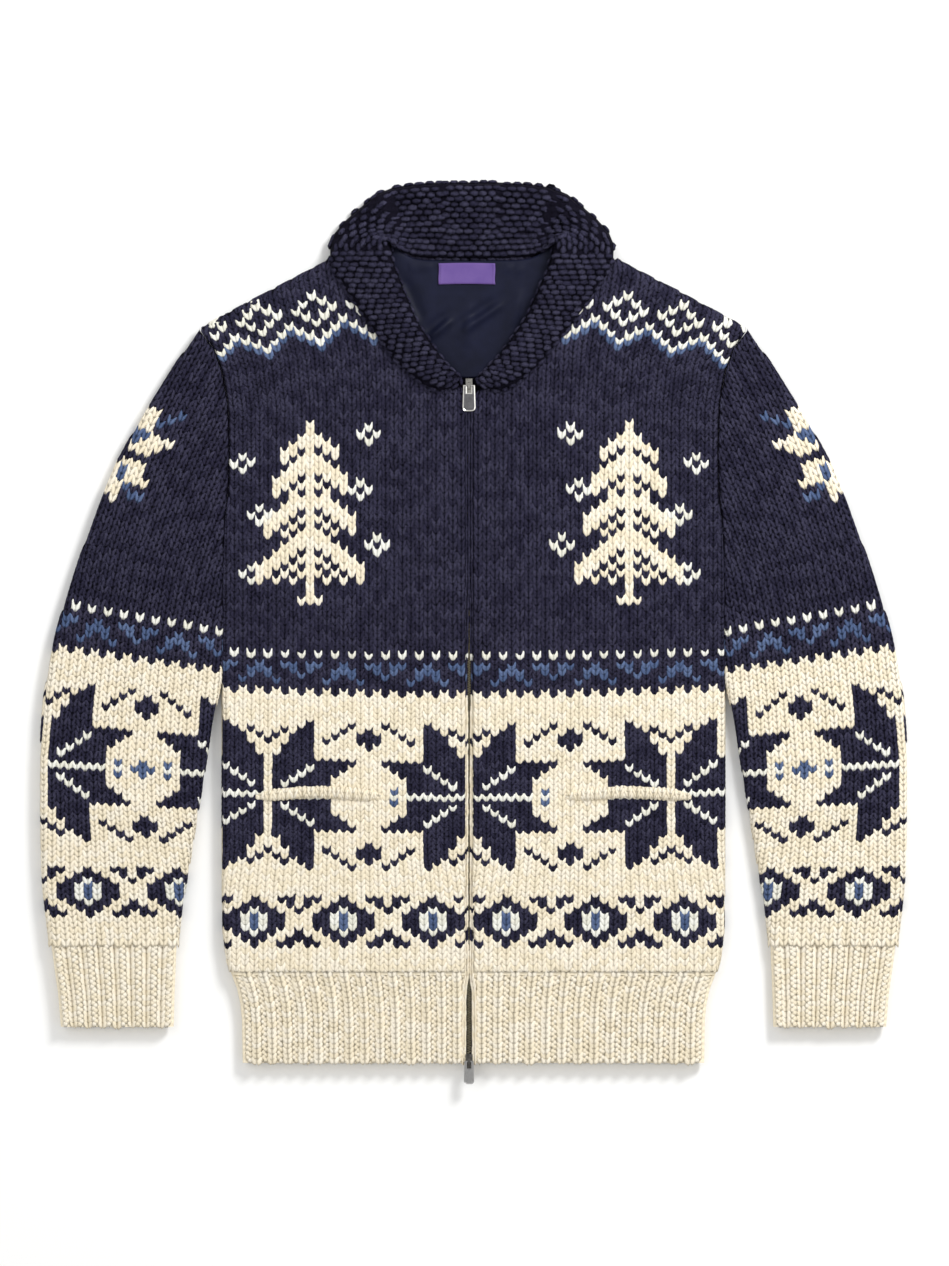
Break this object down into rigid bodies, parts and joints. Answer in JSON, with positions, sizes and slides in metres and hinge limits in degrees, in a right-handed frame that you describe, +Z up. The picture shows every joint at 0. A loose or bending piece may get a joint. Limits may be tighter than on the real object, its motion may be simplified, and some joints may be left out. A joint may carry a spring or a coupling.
{
  "type": "fair isle cardigan",
  "caption": "Bulky knitted zip cardigan laid flat, with fair isle bands, ribbed hem and cuffs, slit pockets, a shawl collar and zip pulls that turn.",
  "frame": {"origin": "centre of the box round the garment, on the surface that it lies on", "axes": "+Z up from the surface, +Y from the hem to the collar, +X towards the garment's left sleeve (on the right as seen from above)"},
  "size_m": [0.7802, 0.812, 0.0246],
  "materials": {
    "patterned_knit": "bulky stocking-stitch wool, fair isle bands of navy, blue and white on cream",
    "cream_rib": "bulky wool rib, matt",
    "cream_knit_edge": "bulky wool, rolled edge",
    "navy_moss_knit": "bulky wool moss stitch, matt",
    "lining_cloth": "fine woven lining, soft sheen",
    "label_cloth": "woven label, satin",
    "zip_tape_cloth": "woven zip tape, matt",
    "zip_metal": "dark nickel plate, smooth"
  },
  "bodies": {
    "garment": {"back": "patterned_knit", "collar": "navy_moss_knit", "cuff_left": "cream_rib", "cuff_right": "cream_rib", "front_left": "patterned_knit", "front_right": "patterned_knit", "hem_back": "cream_rib", "hem_front_left": "cream_rib", "hem_front_right": "cream_rib", "lining": "lining_cloth", "neck_label": "label_cloth", "pocket_welt_left": "cream_knit_edge", "pocket_welt_right": "cream_knit_edge", "sleeve_left": "patterned_knit", "sleeve_right": "patterned_knit", "zip_slider_bottom": "zip_metal", "zip_slider_top": "zip_metal", "zip_tape_left": "zip_tape_cloth", "zip_tape_right": "zip_tape_cloth"},
    "pull_top": {"zip_pull_top": "zip_metal"},
    "pull_bottom": {"zip_pull_bottom": "zip_metal"}
  },
  "joints": [
    {"name": "top_pull_hinge", "type": "hinge", "parent": "garment", "child": "pull_top", "pos_m": [-0.004, 0.2225, 0.0122], "axis": [-1, 0, 0], "range_deg": [0, 170]},
    {"name": "bottom_pull_hinge", "type": "hinge", "parent": "garment", "child": "pull_bottom", "pos_m": [-0.004, -0.3855, 0.0122], "axis": [-1, 0, 0], "range_deg": [0, 170]}
  ]
}
